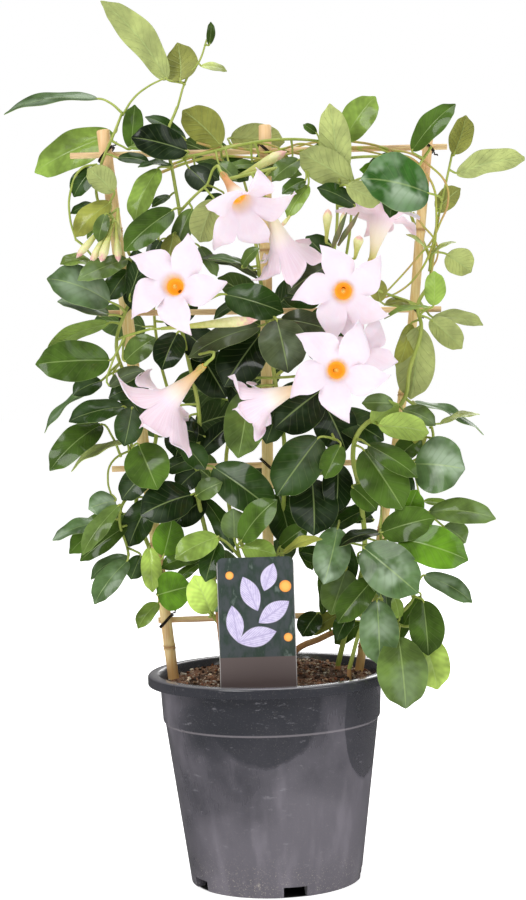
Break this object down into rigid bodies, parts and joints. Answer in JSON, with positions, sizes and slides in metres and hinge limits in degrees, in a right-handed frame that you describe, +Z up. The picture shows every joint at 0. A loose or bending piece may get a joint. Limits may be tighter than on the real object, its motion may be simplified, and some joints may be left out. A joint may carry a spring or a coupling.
{
  "type": "potted climbing plant",
  "caption": "Flowering mandevilla vine twined up a fan-shaped bamboo rack in a round plastic nursery pot with a plant label.",
  "frame": {"origin": "centre of the pot's foot, on the ground plane", "axes": "+Z up, -Y the front that the label and most blooms face, +X to the right seen from the front"},
  "size_m": [0.404, 0.1969, 0.685],
  "materials": {
    "pot": "satin",
    "soil": "matt, crumbly peat",
    "bamboo": "satin",
    "cross_bar": "matt",
    "wire": "dull",
    "label": "printed, satin",
    "leaf": "glossy, waxy leaf",
    "petal": "soft, velvety petal"
  },
  "bodies": {
    "root": {"pot": "pot", "soil": "soil", "bamboo_left": "bamboo", "bamboo_centre": "bamboo", "bamboo_right": "bamboo", "cross_bar_1": "cross_bar", "cross_bar_2": "cross_bar", "cross_bar_3": "cross_bar", "cross_bar_4": "cross_bar", "wire_tie_1_left": "wire", "wire_tie_1_centre": "wire", "wire_tie_1_right": "wire", "wire_tie_2_left": "wire", "wire_tie_2_centre": "wire", "wire_tie_2_right": "wire", "wire_tie_3_left": "wire", "wire_tie_3_centre": "wire", "wire_tie_3_right": "wire", "wire_tie_4_left": "wire", "wire_tie_4_centre": "wire", "wire_tie_4_right": "wire", "plant_label": "label", "vine_left_stick": "leaf", "vine_left_inner": "leaf", "vine_centre": "leaf", "vine_right_inner": "leaf", "vine_right_stick": "leaf", "vine_front_right": "leaf", "vine_front_left": "leaf", "vine_back": "leaf", "bloom_1": "petal", "bloom_2": "petal", "bloom_3": "petal", "bloom_4": "petal", "bloom_5": "petal", "bloom_6": "petal", "bloom_7": "petal", "bloom_8": "petal", "bloom_9": "petal"}
  },
  "joints": []
}
